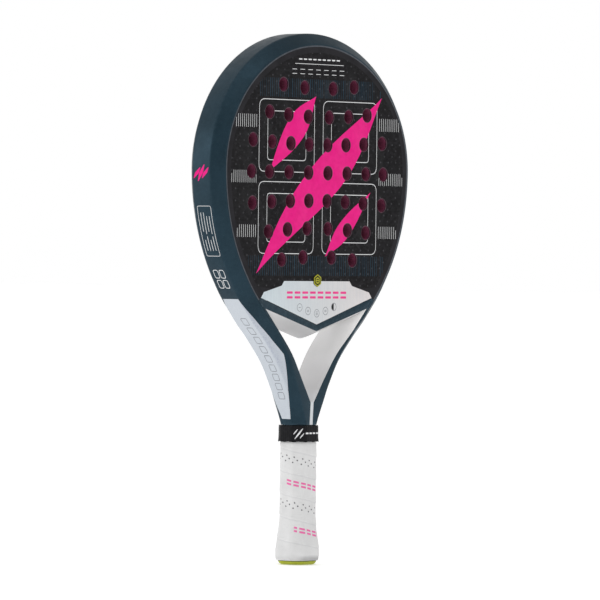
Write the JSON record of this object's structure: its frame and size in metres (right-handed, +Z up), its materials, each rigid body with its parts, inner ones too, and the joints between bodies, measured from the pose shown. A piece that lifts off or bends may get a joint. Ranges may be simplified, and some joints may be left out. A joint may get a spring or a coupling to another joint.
{
  "type": "padel racket",
  "caption": "Padel racket: tubular frame with drilled faces on a foam core, open throat with a V bridge, wrapped grip with a sliding elastic ring.",
  "frame": {"origin": "centre of the butt cap's flat underside", "axes": "+Z up the handle to the tip of the head, X across the face, the front face looks towards -Y"},
  "size_m": [0.26, 0.0386, 0.455],
  "materials": {
    "frame_paint": "satin",
    "carbon_face": "satin",
    "magenta_foam": "matte",
    "handle_foam": "matte",
    "white_filler": "satin",
    "black_nylon": "matte",
    "lime_cap": "satin",
    "screw_steel": "satin",
    "grip_cushion": "matte",
    "grip_wrap": "matte",
    "tape": "matte",
    "band_elastic": "matte",
    "badge_gold": "satin"
  },
  "bodies": {
    "racket": {"frame_tube": "frame_paint", "core_foam": "magenta_foam", "face_front": "carbon_face", "face_rear": "carbon_face", "throat_bridge": "frame_paint", "bridge_core": "magenta_foam", "handle_spine": "white_filler", "handle_foam_left": "handle_foam", "handle_foam_right": "handle_foam", "butt_plug": "black_nylon", "butt_collar": "black_nylon", "butt_cap": "lime_cap", "cap_screw_left": "screw_steel", "cap_screw_right": "screw_steel", "base_grip": "grip_cushion", "base_grip_tape": "tape", "overgrip": "grip_wrap", "finishing_tape": "tape", "badge_hex": "badge_gold"},
    "band": {"grip_band": "band_elastic"}
  },
  "joints": [
    {"name": "grip_band_slide", "type": "slide", "parent": "racket", "child": "band", "axis": [0, 0, 1], "range_m": [-0.06, 0]}
  ]
}
